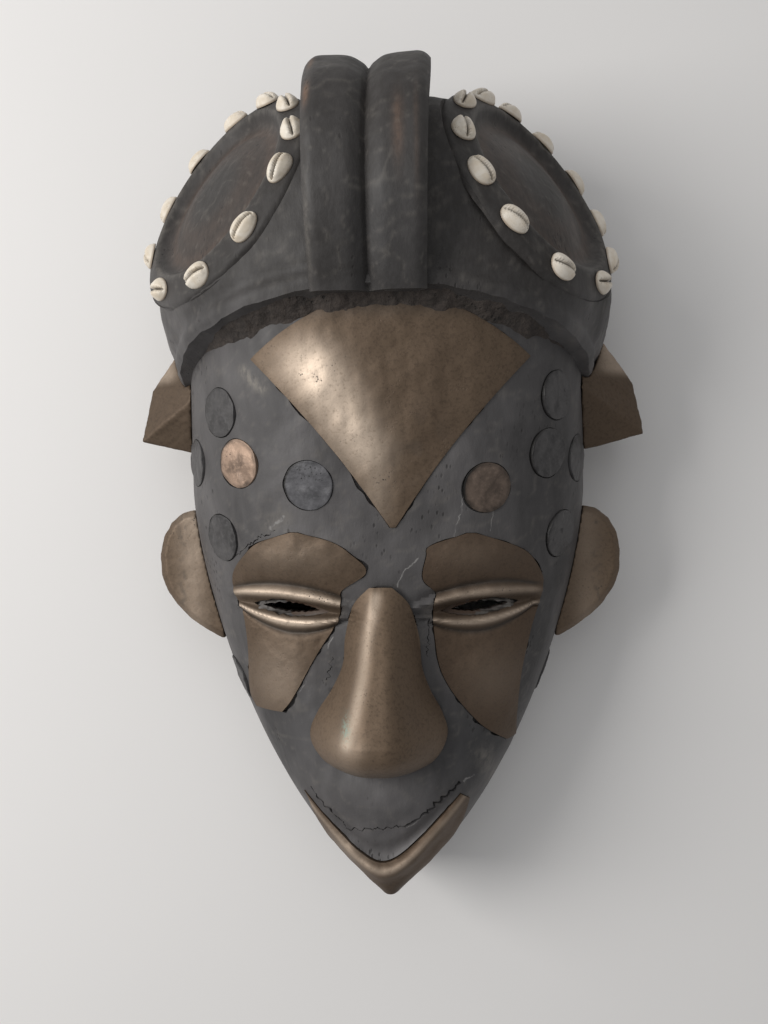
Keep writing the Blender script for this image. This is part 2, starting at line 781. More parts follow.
HAIRLINES = [  # x and y of both ends, and width, in millimetres
    (7, -57, 12, -47, 0.5), (12, -47, 20, -41, 0.5), (39, -29, 42, -17, 0.35), (42, -17, 45, -7, 0.3),
    (60, -26, 62, -12, 0.3), (-33, -92, -30, -86, 0.5), (-50, -118, -46, -112, 0.4), (44, -172, 50, -169, 0.6),
    (-62, -23, -55, -17, 1.2),
]


def wood_finish():
    _, finish = settings()
    material, tree, shader, worn, place = new_finish("blackened_wood", 16.0, 300.0, 380.0, (1, 0.45, 1))
    patches, grain = worn["Patches"], worn["Grain"]
    rubbed = times(tree, mask(tree, "worn"), ranged(tree, grain, 0.2, 0.62, 0.35, 1.0), True)
    crust = times(tree, mask(tree, "dusty"), ranged(tree, grain, 0.3, 0.6, 0.2, 1.0), True)
    base = layered(
        tree,
        mixed(tree, ranged(tree, patches, 0.3, 0.72), finish.wood_dark, finish.wood_light),
        (mask(tree, "warm"), 0.84, (0.0215, 0.018, 0.0155)),
        (mask(tree, "cool"), 0.5, (0.036, 0.037, 0.04)),
        (ranged(tree, grain, 0.35, 0.75), 0.2, (0.085, 0.08, 0.078)),
        (rubbed, 1, finish.wood_worn),
        (crust, 1, (0.2, 0.18, 0.155)),
    )
    group = hairline()
    broken = ranged(tree, grain, 0.35, 0.6, 0.05, 0.65)
    for x0, y0, x1, y1, width in HAIRLINES:
        ends = {"Vector": place, "Start": (x0 * MM, y0 * MM, 0), "End": (x1 * MM, y1 * MM, 0), "Width": width * MM}
        line = wire_group(tree, group, ends)[0]
        base = mixed(tree, times(tree, line, broken), base, (0.28, 0.27, 0.26))
    pits = (worn["Pits"], 0.75, (0.012, 0.01, 0.009))
    base = layered(tree, base, pits, (mask(tree, "inner"), 1, (0.075, 0.045, 0.028)))
    surfaced(tree, shader, worn, base, ranged(tree, patches, 0.25, 0.75, 0.72, 0.54), 0.5, 0.0006)
    return material


def brass_finish(name, dull, browning=0.4):
    _, finish = settings()
    material, tree, shader, worn, _ = new_finish(name, 20.0, 520.0, 560.0)
    patches, grain, grimy = worn["Patches"], worn["Grain"], mask(tree, "grimy")
    rub = times(tree, mask(tree, "rubbed"), ranged(tree, patches, 0.25, 0.6, 0.6, 1.0))
    rub = times(tree, rub, ranged(tree, grain, 0.22, 0.5, 0.55, 1.0), True)
    speck = times(tree, worn["Pits"], ranged(tree, mask(tree, "pitted"), 0.0, 1.0, 0.15, 1.0), True)
    green = times(tree, mask(tree, "verdigris"), ranged(tree, grain, 0.4, 0.6))
    base = layered(
        tree,
        dull,
        (ranged(tree, patches, 0.35, 0.7), browning, finish.brass_brown),
        (ranged(tree, grain, 0.45, 0.7), 0.35, shade(finish.brass_brown, 0.45)),
        (rub, 1, finish.brass_rubbed),
        (speck, 1, (0.018, 0.015, 0.013)),
        (green, 1, (0.3, 0.42, 0.36)),
        (grimy, 0.85, (0.02, 0.018, 0.016)),
    )
    masked = maths(tree, "ADD", speck, times(tree, grimy, 0.5))
    join(tree, maths(tree, "SUBTRACT", 0.55, masked, True), shader.inputs["Metallic"])
    rough = maths(tree, "SUBTRACT", ranged(tree, patches, 0.25, 0.75, 0.66, 0.56), times(tree, rub, 0.06))
    surfaced(tree, shader, worn, base, maths(tree, "ADD", rough, times(tree, speck, 0.3)), 0.35, 0.0004)
    return material


def stud_finish(name, tint, metallic):
    material, tree, shader, worn, _ = new_finish(name, 60.0, 480.0, 620.0)
    patches = worn["Patches"]
    base = layered(
        tree,
        mixed(tree, ranged(tree, patches, 0.35, 0.7), tint, shade(tint, 0.4)),
        (ranged(tree, worn["Grain"], 0.45, 0.7), 0.3, tuple(min(1.6 * c, 1) for c in tint)),
        (mask(tree, "grimy"), 1, (0.012, 0.011, 0.01)),
        (worn["Pits"], 1, (0.015, 0.013, 0.012)),
    )
    join(tree, metallic, shader.inputs["Metallic"])
    surfaced(tree, shader, worn, base, ranged(tree, patches, 0.25, 0.75, 0.58, 0.46), 0.45, 0.0004)
    return material


def shell_finish():
    _, finish = settings()
    material, tree, shader, worn, _ = new_finish("cowrie_shell", 130.0, 900.0, 900.0)
    base = layered(
        tree,
        mixed(tree, ranged(tree, worn["Patches"], 0.3, 0.7), finish.shell, (0.78, 0.72, 0.63)),
        (mask(tree, "edge"), 0.7, (0.36, 0.27, 0.19)),
        (mask(tree, "slot"), 1, (0.03, 0.022, 0.016)),
        (worn["Pits"], 0.5, (0.2, 0.15, 0.1)),
    )
    surfaced(tree, shader, worn, base, ranged(tree, worn["Grain"], 0.3, 0.7, 0.36, 0.5), 0.2, 0.0002)
    return material


def filler_finish():
    material, tree, shader, worn, _ = new_finish("brim_filler", 60.0, 330.0, 300.0)
    base = layered(
        tree,
        mixed(tree, ranged(tree, worn["Patches"], 0.3, 0.7), (0.04, 0.031, 0.026), (0.026, 0.021, 0.018)),
        (ranged(tree, worn["Grain"], 0.4, 0.7), 0.5, (0.07, 0.055, 0.045)),
        (worn["Pits"], 1, (0.008, 0.007, 0.006)),
    )
    surfaced(tree, shader, worn, base, 0.85, 1.0, 0.0012)
    return material


# Solids of the body.


def ground(u, v, y):
    """The middle line of a form's underside, below the back rim."""
    return stack(0 * u, y, -BELOW_RIM + 0 * u)


def wrapped(u, columns, wall):
    """The angle round a form, and how high the columns of its upright sides are, from 0 to 1."""
    column = u * columns
    turn = np.clip((column - wall) / (columns - 2 * wall), 0, 1)
    return np.pi * (1 - turn), np.clip(np.minimum(column, columns - column) / wall, 0, 1)


def head_solid(columns, rows, rise, grow=0.0, start=0.0, end=0.8, wall=8):
    def skin(u, v):
        s = lerp(start, end, v**1.15)
        angle, lift = wrapped(u, columns, wall)
        point = face_point(angle, s, grow, rise)
        point[:, 0] += JAW_FLARE * (1 - lift) * (u > 0.5) * swell((s - 0.135) / 0.08)
        point[:, 2] *= lift
        return point

    return sheet("face", skin, lambda u, v: ground(u, v, skin(u, v)[:, 1]), columns, rows)


def cap_solid(columns, rows, wall=6):
    def skin(u, v):
        s = lerp(CAP_BOTTOM, CAP_TOP, np.sin(v * np.pi / 2))
        angle, lift = wrapped(u, columns, wall)
        first = cap_point(angle, s)
        above = first[:, 1] - brim_y(first[:, 0], first[:, 2])
        fold = 1.3 * swell((above - 4.5) / 3.2) - 1.6 * swell((above - 12) / 3.5)
        point = cap_point(angle, s, fold + tool_marks(first, (1.0, 46, 11), (0.5, 17, 12), (0.15, 6, 13)) - 0.5)
        point[:, 2] *= lift
        return point

    def arch(u, v):
        x, z = lerp(-CAP_WIDTH, CAP_WIDTH, u), lerp(-0.1, 1.4, v) * CAP_DEPTH
        return stack(x, brim_y(x, z) + 0.6 * ripples(stack(x, z), 24, 14), z)

    def below(u, v):
        x, _, z = arch(u, v).T
        return stack(x, y_at(0.4), z)

    cap = sheet("cap", skin, lambda u, v: ground(u, v, skin(u, v)[:, 1]), columns, rows)
    return fitted(cap, sheet("arch", arch, below, 120, 24), "DIFFERENCE")


def crest_solid(columns, rows):
    carving, _ = settings()
    hub = np.array([-0.008 * LENGTH, y_at(0.726), 0.27 * FACE_DEPTH])
    first_turn, last_turn = 1.66, -0.3

    def at(turn, x, out):
        return stack(hub[0] + x, hub[1] + out * np.cos(turn), hub[2] + out * np.sin(turn))

    def skin(u, v):
        turn, across = lerp(first_turn, last_turn, v), lerp(-1, 1, u)
        x = across * (CREST_WIDTH / 2 * (1 + 0.13 * swell((turn - 0.5) / 0.7)) - 0.4)
        roll = np.abs(np.abs(across) - 0.5) / 0.5
        shoulder = 3.8 * np.clip((np.abs(across) - 0.76) / 0.24, 0, 1) ** 2.6
        crown = shoulder + 0.6 * roll**2 - 1.4 * np.clip(across, 0, 1) + 0.9
        cleft = carving.cleft / MM * swell(across / 0.045) + 4.6 * swell(across / 0.19)
        out = crest_reach(turn) * LENGTH - crown - cleft
        return at(turn, x, out + tool_marks(at(turn, x, out), (1.0, 40, 21), (0.3, 13, 22)))

    def under(u, v):
        return at(lerp(first_turn, last_turn, v), 0 * u, 0.15 * LENGTH)

    return sheet("crest", skin, under, columns, rows)


MEDALLIONS = {  # where each one faces, and its shift
    -1: ((-0.66, 0.435, 0.612), (2, -3, 0)),
    1: ((0.71, 0.46, 0.533), (-5, -5, 0)),
}
MEDALLION_FACE = [
    (0, 8), (12, 7.7), (24, 6.4), (34, 4.2), (42, 1.9), (46.5, 0.9), (49.5, 1.3), (52, 3.4),
    (54.2, 5.7), (56, 6.8), (57.4, 6.85), (69.6, 1.17), (71.2, -0.3), (71.5, -2),
]


def medallion_frame(side):
    faces, shift = MEDALLIONS[side]
    out = unit(np.array(faces))
    centre = np.array((side * 0.33 * CAP_WIDTH, float(y_at(0.85)), 0.615 * CAP_DEPTH)) + shift
    level = unit(np.array([out[1], -out[0], 0]))
    up = np.cross(level, out)
    return Matrix([(level[k], out[k], up[k], centre[k] * MM) for k in range(3)] + [(0, 0, 0, 1)])


def medallion_solid(side):
    def wobble(radius, height, around):
        rim = smooth(50, 60, radius)
        spots = stack(radius * np.cos(around), radius * np.sin(around))
        uneven = waves(spots, (0.5, 30, 31 + side), (0.2, 9, 33 + side))
        free = 1 - smooth(57, 60, radius) * smooth(70.5, 67.5, radius)
        return radius + 0.8 * rim * np.sin(3 * around + side) * free, height + uneven * 0.8 * free

    profile = finer([*MEDALLION_FACE, (71.5, -4)], 60)
    return placed(turned("medallion", [*profile, (40, -22), (0, -34)], 120, wobble), medallion_frame(side))


def medallion_room(side):
    face = [(r, h + 0.02) for r, h in finer(MEDALLION_FACE, 40)]
    outside = [(0, 24), (40, 24), (90, 24), (83, 5), (72.6, -1.5)]
    return placed(turned("room", [*outside, *face[::-1]], 96), medallion_frame(side))


def slit_solid(side, length_mm, height_mm, low, high, ragged, seed):
    """An upright almond, level with the eye."""
    tilt = side * math.atan(EYE_TILT * EYE_HALF_HEIGHT * LENGTH / (EYE_HALF_LENGTH * HALF))

    def skin(z):
        def at(u, v):
            x = lerp(-0.5, 0.5, u) * length_mm
            edge = height_mm / 2 * (1 - lerp(-1, 1, u) ** 2) + 0.05
            edge = edge * (1 + ragged * ripples(stack(x, np.sign(v - 0.5) * 40), 4.5, seed)) + 0.1
            y = lerp(-1, 1, v) * np.maximum(edge, 0.1)
            return stack(
                side * EYE_X * HALF + x * math.cos(tilt) - y * math.sin(tilt),
                y_at(EYE_S) + x * math.sin(tilt) + y * math.cos(tilt),
                z + 0 * x,
            )

        return at

    return sheet("slit", skin(high), skin(low), 48, 4)


def split(name, stations, depth):
    """A ragged crack along (x, s, width) stations on the face, with jagged sides that close to a line at its bottom."""
    ways = np.linspace(0, 1, len(stations))
    xs, ss, widths = [through(list(zip(ways, column))) for column in zip(*stations)]

    def side_to_side(out, narrow):
        def at(u, v):
            x, s = xs(u), ss(u)
            step = 0.004
            dx, dy = xs(u + step) - xs(u - step), (ss(u + step) - ss(u - step)) * LENGTH
            run = np.maximum(np.hypot(dx, dy), 1e-6)
            spots = stack(x, y_at(s))
            jag = waves(spots, (0.9, 7, 41), (0.45, 2.8, 42)) * smooth(0, 0.06, u) * smooth(1, 0.94, u)
            wide = widths(u) * (1 + 0.5 * ripples(spots, 5, 43)) * narrow
            off = lerp(-0.5, 0.5, v) * np.maximum(wide, 0.12) + jag
            x, s = x - dy / run * off, s + dx / run * off / LENGTH
            return off_face(angle_at(x, s), s, out, finely_carved)

        return at

    return sheet(name, side_to_side(3.0, 1.25), side_to_side(-depth, 0.15), 110, 2)


CRACKS = [  # stations of x, share of the length and width, then depth
    ([
        (-46, 0.137, 0.8), (-38, 0.116, 1.4), (-30, 0.1, 1.2), (-23, 0.0885, 0.8), (-12, 0.091, 0.8),
        (0, 0.094, 1.1), (12, 0.098, 1.8), (23, 0.113, 2.0), (32, 0.128, 2.8), (42, 0.145, 2.8),
    ], 6),
    ([(60, 0.4375, 0.5), (70, 0.4275, 0.8), (79, 0.4215, 1.1), (86, 0.4085, 1.0), (91, 0.39, 0.5)], 5),
    ([(-86, 0.4185, 0.3), (-77, 0.4325, 0.7), (-68, 0.4425, 0.7), (-60, 0.4495, 0.4)], 4),
    ([(-36, 0.268, 0.3), (-33, 0.284, 0.6), (-30, 0.3, 0.3)], 3),
    ([(24, 0.3, 0.3), (25, 0.322, 0.9), (25, 0.344, 0.4)], 3),
]


def inlay(name, place, columns, rows, over, below, pocket=False):
    """A plate on the face, or the ragged pocket in the wood that it lies in."""
    carving, _ = settings()
    sunk = PLATE_THICKNESS - PLATE_PROUD
    share = 0.15 if name.startswith("lip") else 1

    def skin(out, rise):
        def at(u, v):
            margin, lift = 0 * u, out
            if pocket:
                ragged = waves(off_face(*place(u, v, margin), 0, carved), (0.9, 26, 51), (0.6, 11, 52)) - 0.3
                margin = (carving.seam / MM + carving.ragged_seam / MM * np.clip(ragged, 0, 1.3)) * share
            angle, s = place(u, v, margin)
            if not pocket and out > 0:
                edge = np.minimum(np.minimum(u, 1 - u), np.minimum(v, 1 - v))
                dents = waves(face_point(angle, s), (1, 34, 53), (0.4, 12, 54)) * carving.dents / MM
                lift = out + dents * smooth(0, 0.08, edge)
            return off_face(angle, s, lift, rise)

        return at

    if pocket:
        return sheet("pocket", skin(PLATE_PROUD + 1.8, over), skin(-sunk - BED, below), columns, rows)
    return sheet(name, skin(PLATE_PROUD, over), skin(-sunk, below), columns, rows)


def stud_frame(side, x, s):
    angle = angle_at(np.array([side * x * HALF]), np.array([s]))
    low, high = off_face(angle, np.array([s]), 0)[0], off_face(angle, np.array([s]), 1)[0]
    out = Vector(high - low).normalized()
    turn = Vector((0, 0, 1)).rotation_difference(out).to_matrix().to_4x4()
    return Matrix.Translation(Vector(low) * MM) @ turn


def stud_pocket(matrix, side, number):
    radius = (STUD_DIAMETER / 2 + STUD_GAP) * MM
    hole = added(bpy.ops.mesh.primitive_cylinder_add, "hole", vertices=72, radius=radius, depth=STUD_HOLE * MM)
    points = points_of(hole)
    around = np.arctan2(points[:, 1], points[:, 0])
    seed = number + (10 if side > 0 else 0)
    grow = 1 + 0.012 * ripples(stack(points[:, 0], points[:, 1]), 14, 60 + seed)
    gape = 1 + 0.06 * np.maximum(np.cos(around - np.pi - 0.3), 0) ** 2
    points[:, :2] *= (grow * gape)[:, None]
    points[:, 2] += STUD_HOLE / 2 - (STUD_THICKNESS - STUD_PROUD + 0.7)
    move_points(hole, points)
    return placed(hole, matrix)


def near_line(x, y, width, *points):
    """1 on a run of straight lines, falling off over the given width."""
    best = np.full(np.shape(x), 1e9)
    for (x0, y0), (x1, y1) in zip(points, points[1:]):
        dx, dy = x1 - x0, y1 - y0
        t = np.clip(((x - x0) * dx + (y - y0) * dy) / (dx * dx + dy * dy), 0, 1)
        best = np.minimum(best, np.hypot(x - x0 - t * dx, y - y0 - t * dy))
    return swell(best / width)


# Operators.


class MASK_OT_body(bpy.types.Operator):
    """Carve the wooden body: face, cap, crest and medallions, hollow behind"""

    bl_idname = "mask.body"
    bl_label = "Wooden body"

    def execute(self, context):
        carving = context.scene.mask_carving
        body = head_solid(carving.columns, carving.rows, finely_carved)
        body.name = "wooden_body"
        for solid in (cap_solid(150, 90), crest_solid(84, 150)):
            fitted(body, solid, "UNION")
        for side in SIDES.values():
            fitted(body, medallion_solid(side), "UNION")
            fitted(body, medallion_room(side), "DIFFERENCE")
        largest_part(body)
        hollow = head_solid(40, 30, plain, -WALL, 0.04, FACE_TOP - WALL / LENGTH, 2)
        fitted(body, hollow, "DIFFERENCE")
        notch_y = (float(y_at(FACE_TOP)) - 4 - 0.08 * LENGTH) * MM
        notch_size = (NAIL_NOTCH_WIDTH, 0.16 * LENGTH, 2 * NAIL_NOTCH_HEIGHT)
        for name, size, location, scale in (
            ("under_rim", 1, (0, 0, -0.1), (1, 1, 0.2)),
            ("nail_notch", MM, (0, notch_y, 0), notch_size),
        ):
            block = added(bpy.ops.mesh.primitive_cube_add, name, size=size, location=location, scale=scale)
            bpy.ops.object.transform_apply()
            fitted(body, block, "DIFFERENCE")
        over, under = (
            lambda u, v, out=out, rise=rise: off_face(*nose_place(u, v, 0 * u), out, rise)
            for out, rise in ((0, with_nose), (-WALL / 2, plain))
        )
        fitted(body, sheet("core", over, under, 30, 30), "UNION")
        for name, (place, columns, rows, over, below, _) in plate_table().items():
            fine = 1.0 if name.startswith("lip") else 0.6
            pocket = inlay(name, place, int(fine * columns), int(fine * rows), over, below, pocket=True)
            fitted(body, pocket, "DIFFERENCE")
        for name, side in SIDES.items():
            ball = added(bpy.ops.mesh.primitive_uv_sphere_add, "eyeball", segments=48, ring_count=24, radius=1)
            eye_s = np.array([EYE_S])
            seat = off_face(angle_at(np.array([side * EYE_X * HALF]), eye_s), eye_s, -2.4)[0]
            lump = points_of(ball) * MM
            lump = lump * (21, 5.6, 5) * (1 + 0.05 * ripples(lump * 20, 9, 71))[:, None]
            move_points(ball, lump + seat - (0, 0, 3.2))
            fitted(body, ball, "UNION")
            fitted(body, slit_solid(side, SLIT_LENGTH, SLIT_HEIGHT, 20, 240, 0.16, 72 + side), "DIFFERENCE")
            for number, (x, s) in enumerate(STUDS[name]):
                fitted(body, stud_pocket(stud_frame(side, x, s), side, number), "DIFFERENCE")
        for stations, depth in CRACKS:
            fitted(body, split("crack", stations, depth), "DIFFERENCE")
        self.mark(body)
        shaded(body, 38)
        finish_piece(body, wood_finish(), "dark_wood", "mask_body")
        return {"FINISHED"}

    def mark(self, body):
        points = points_of(body)
        x, y, z = points.T
        s = s_at(y)
        crest = smooth(150, 160, z) + smooth(175, 185, y)
        worn = 0.7 * swell((x + 33.5) / 1.6) * (swell((y - 196) / 7) + swell((y - 222) / 6)) * crest
        worn += 0.6 * swell((x - 13) / 2.6, (y - 172) / 15) * crest
        worn += 0.25 * swell((x - 22) / 1.2, (y - 168) / 22) * crest
        dusty = 0.28 * swell((x + 33) / 1.2, (y - 128) / 24) * crest
        for side in SIDES.values():
            matrix = medallion_frame(side)
            turn = np.array(matrix.to_3x3())
            local = points @ turn - np.array(matrix.translation) / MM @ turn
            radius = np.hypot(local[:, 0], local[:, 2])
            near = smooth(-12, -3, local[:, 1]) * (x * side > 0)
            worn += near * (0.32 * swell((radius - 44) / 5) + 0.2 * swell((radius - 30) / 9))
            dusty += near * 0.25 * swell((radius - 56) / 1.6)
        along, _, lens = eye_place(x, s)
        dusty += 0.35 * smooth(1.1, 0.9, np.abs(along)) * smooth(0.62, 0.45, lens) * (z > 60)
        dusty += 0.9 * near_line(x, y, 2.6, (-75, 64), (-70, 57), (-63, 52.5)) * (z > 60)
        dusty += 0.4 * near_line(x, y, 5, (56, -157), (68, -188), (74, -201))
        dusty += 0.35 * near_line(x, y, 5, (-64, -22), (-54, -17)) * (z > 90)
        dusty += 0.2 * swell(ripples(points, 26, 81) / 0.1) * smooth(0.05, 0.1, s)
        level, low, outer_skin = np.clip(s, 0, 1), np.clip(s, 0, 0.925), 9
        inside = (z < FACE_DEPTH * face_height(level) - outer_skin) & (s < FACE_TOP)
        inside &= np.abs(x) < face_half_width(level) - outer_skin
        inside &= z < face_point(angle_at(x, low), low, 0, plain)[:, 2] - outer_skin
        cool = 0.8 * swell((x - 52) / 26, (s - 0.19) / 0.06) + 0.6 * swell((x + 50) / 24, (s - 0.21) / 0.06)
        cool += 0.5 * swell((x - 4) / 26, (y - 125) / 30) * crest
        warm = smooth(0.66, 0.74, s) * (1 - 0.35 * swell((x - 10) / 24, (y - 125) / 40)) + 0.2 * crest
        marked(body, worn=worn, dusty=dusty, cool=cool, warm=warm, inner=inside.astype(float))


def plate_table():
    """Each inlaid plate's place, mesh columns and rows, upper and lower forms and the CAD node that it stands for."""
    table = {
        "forehead_brass": (forehead_place, 84, 84, finely_carved, carved, "forehead_plate"),
        "nose_brass": (nose_place, 84, 110, fine_nose, with_nose, "nose"),
        "lip_brass": (lip_place, 150, 44, finely_carved, plain, "lower_lip"),
    }
    for name in SIDES:
        table[f"{name}_eye_brass"] = (eye_plate_place(name), 76, 130, finely_carved, carved, f"{name}_eye_plate")
    return table


def make_plate(name):
    place, columns, rows, over, below, node = plate_table()[name]
    return inlay(name, place, columns, rows, over, below), node


def finish_plate(plate, node, look, tint, browning, degrees, **masks):
    marked(plate, **masks)
    shaded(plate, degrees)
    finish_piece(plate, brass_finish(look, tint, browning), "brass_plate", node)


class MASK_OT_forehead(bpy.types.Operator):
    """Beat the brass shield on the forehead"""

    bl_idname = "mask.forehead"
    bl_label = "Forehead plate"

    def execute(self, context):
        plate, node = make_plate("forehead_brass")
        applied(plate, "BEVEL", width=0.35 * MM, segments=2, limit_method="ANGLE", angle_limit=math.radians(50))
        x, y, _ = points_of(plate).T
        rub = 0.95 * near_line(x, y, 13, (-36, 62), (-22, 42), (-10, 20)) + 0.35 * swell((x + 2) / 8, (y + 5) / 16)
        rub += 0.25 * swell((x + 42) / 20, (y - 64) / 12)
        pitted = 0.9 * near_line(x, y, 12, (-34, 64), (-14, 58)) + 0.9 * near_line(x, y, 6, (-16, 28), (2, 0))
        pitted += 0.12
        patchy = smooth(0, 1, ripples(stack(x, y), 22, 91))
        grimy = 0.55 * smooth(0.672, 0.7, s_at(y)) + 0.3 * swell((x - 20) / 16, (y - 22) / 16) * patchy
        dull = context.scene.mask_finish.brass_dull
        finish_plate(
            plate, node, "forehead_plate_brass", dull, 0.3, 40, rubbed=rub, pitted=pitted, grimy=grimy, verdigris=0.0
        )
        return {"FINISHED"}


class MASK_OT_eyes(bpy.types.Operator):
    """Beat both eye plates, with brow, lids and cheek in one sheet, and open their lids"""

    bl_idname = "mask.eyes"
    bl_label = "Eye plates"

    def execute(self, context):
        finish = context.scene.mask_finish
        for name, side in SIDES.items():
            plate, node = make_plate(f"{name}_eye_brass")
            opening = slit_solid(side, LID_OPENING_LENGTH, LID_OPENING_HEIGHT, 20, 240, 0.08, 75 + side)
            fitted(plate, opening, "DIFFERENCE")
            x, y, _ = points_of(plate).T
            s = s_at(y)
            along, up, lens = eye_place(x, s)
            within = smooth(1.25, 0.95, np.abs(along))
            ridge = within * (swell((lens - 0.66) / 0.2) + 0.8 * swell((lens - 0.66) / 0.12) * (up < 0))
            light, darker, browning = (1.0, 0.25, 0.25) if side < 0 else (0.45, 0.75, 0.5)
            rub = light * (0.85 * ridge + 0.15 * swell((x - side * 50) / 26, (s - 0.42) / 0.02))
            rub += light * 0.25 * swell((x - side * 62) / 18, (s - 0.27) / 0.04)
            grimy = within * 0.8 * swell((lens - 1.1) / 0.14) + 0.25 * smooth(0.5, 0.4, lens) * within
            finish_plate(
                plate, node, f"{name}_eye_brass", between(finish.brass_dull, finish.brass_brown, darker), browning, 40,
                rubbed=rub, pitted=0.15 + 0.85 * ridge, grimy=grimy, verdigris=0.0,
            )
        return {"FINISHED"}


class MASK_OT_nose(bpy.types.Operator):
    """Beat the brass over the nose"""

    bl_idname = "mask.nose"
    bl_label = "Nose"

    def execute(self, context):
        nose, node = make_plate("nose_brass")
        x, y, _ = points_of(nose).T
        s = s_at(y)
        strip = near_line(x, y, 3.2, (-4, -62), (-9, -85), (-12, -106), (-16, -126), (-20, -139))
        finish_plate(
            nose, node, "nose_brass", shade(context.scene.mask_finish.brass_dull, 1.2), 0.35, 45,
            rubbed=0.62 * strip + 0.3 * swell((x + 20) / 9, (s - 0.21) / 0.02),
            pitted=0.12 + 0.6 * swell((x + 25) / 5, (y + 137) / 6),
            grimy=0.5 * smooth(0.19, 0.172, s),
            verdigris=0.8 * swell((x + 20) / 2.2, (y + 131) / 6),
        )
        return {"FINISHED"}


class MASK_OT_lip(bpy.types.Operator):
    """Beat the brass lower lip round the chin"""

    bl_idname = "mask.lip"
    bl_label = "Lower lip"

    def execute(self, context):
        finish = context.scene.mask_finish
        lip, node = make_plate("lip_brass")
        x, y, _ = points_of(lip).T
        s = s_at(y)
        inside = (s - lip_line(x)) * LENGTH
        finish_plate(
            lip, node, "lip_brass", between(finish.brass_dull, finish.brass_brown, 0.55), 0.4, 45,
            rubbed=0.4 * swell((inside + 1) / 2.2) + 0.25 * swell((x + 22) / 14, (s - 0.07) / 0.03),
            pitted=0.12, grimy=0.3 * smooth(0.03, 0.0, s), verdigris=0.0,
        )
        return {"FINISHED"}


def rounded_copy(node, name, voxel, dents, seed):
    """A copy of a faceted CAD piece with its edges worn round and its faces dented."""
    piece = copy_of(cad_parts[node], name)
    piece.parent = None
    for key in list(piece.keys()):
        del piece[key]
    piece.hide_render = piece.hide_viewport = False
    edit_all(piece, bpy.ops.mesh.remove_doubles, threshold=1e-6)
    applied(piece, "REMESH", mode="VOXEL", voxel_size=voxel * MM, adaptivity=0)
    applied(piece, "SMOOTH", factor=0.5, iterations=4)
    points, normals = points_of(piece), normals_of(piece)
    relief = waves(points, (1, 26, seed), (0.5, 10, seed + 1), (0.25, 4, seed + 2))
    move_points(piece, points + normals * (relief * dents)[:, None])
    only(piece)
    bpy.ops.object.shade_smooth()
    return piece


class MASK_OT_ears(bpy.types.Operator):
    """Shape both half-moon ears"""

    bl_idname = "mask.ears"
    bl_label = "Ears"

    def execute(self, context):
        material = brass_finish("ear_brass", shade(context.scene.mask_finish.brass_dull, 1.05), 0.35)
        for name, side in SIDES.items():
            ear = rounded_copy(f"{name}_ear", f"{name}_ear_brass", 1.0, 0.16, 110 + side)
            points = points_of(ear)
            out = np.abs(points[:, 0])
            inner = swell((out - 122) / 9) * (1 if side < 0 else 0.5)
            grimy = 0.5 * swell((out - 128) / 2.5) * smooth(-0.2, 0.6, ripples(points, 7, 115))
            pitted = 0.3 + 0.7 * swell((out - 124) / 10)
            marked(ear, rubbed=0.35 * inner, pitted=pitted, grimy=grimy, verdigris=0.0)
            finish_piece(ear, material, "brass_fitting", f"{name}_ear")
        return {"FINISHED"}


class MASK_OT_horns(bpy.types.Operator):
    """Shape both faceted horns under the cap's lower corners"""

    bl_idname = "mask.horns"
    bl_label = "Horns"

    def execute(self, context):
        material = brass_finish("horn_brass", shade(context.scene.mask_finish.brass_dull, 0.8), 0.3)
        for name, side in SIDES.items():
            horn = rounded_copy(f"{name}_horn", f"{name}_horn_brass", 1.0, 0.25, 120 + side)
            x, y, _ = points_of(horn).T
            rub = 0.5 * smooth(124, 138, np.abs(x)) * smooth(64, 72, y)
            marked(horn, rubbed=rub, pitted=0.2, grimy=0.8 * smooth(118, 108, np.abs(x)), verdigris=0.0)
            finish_piece(horn, material, "brass_fitting", f"{name}_horn")
        return {"FINISHED"}


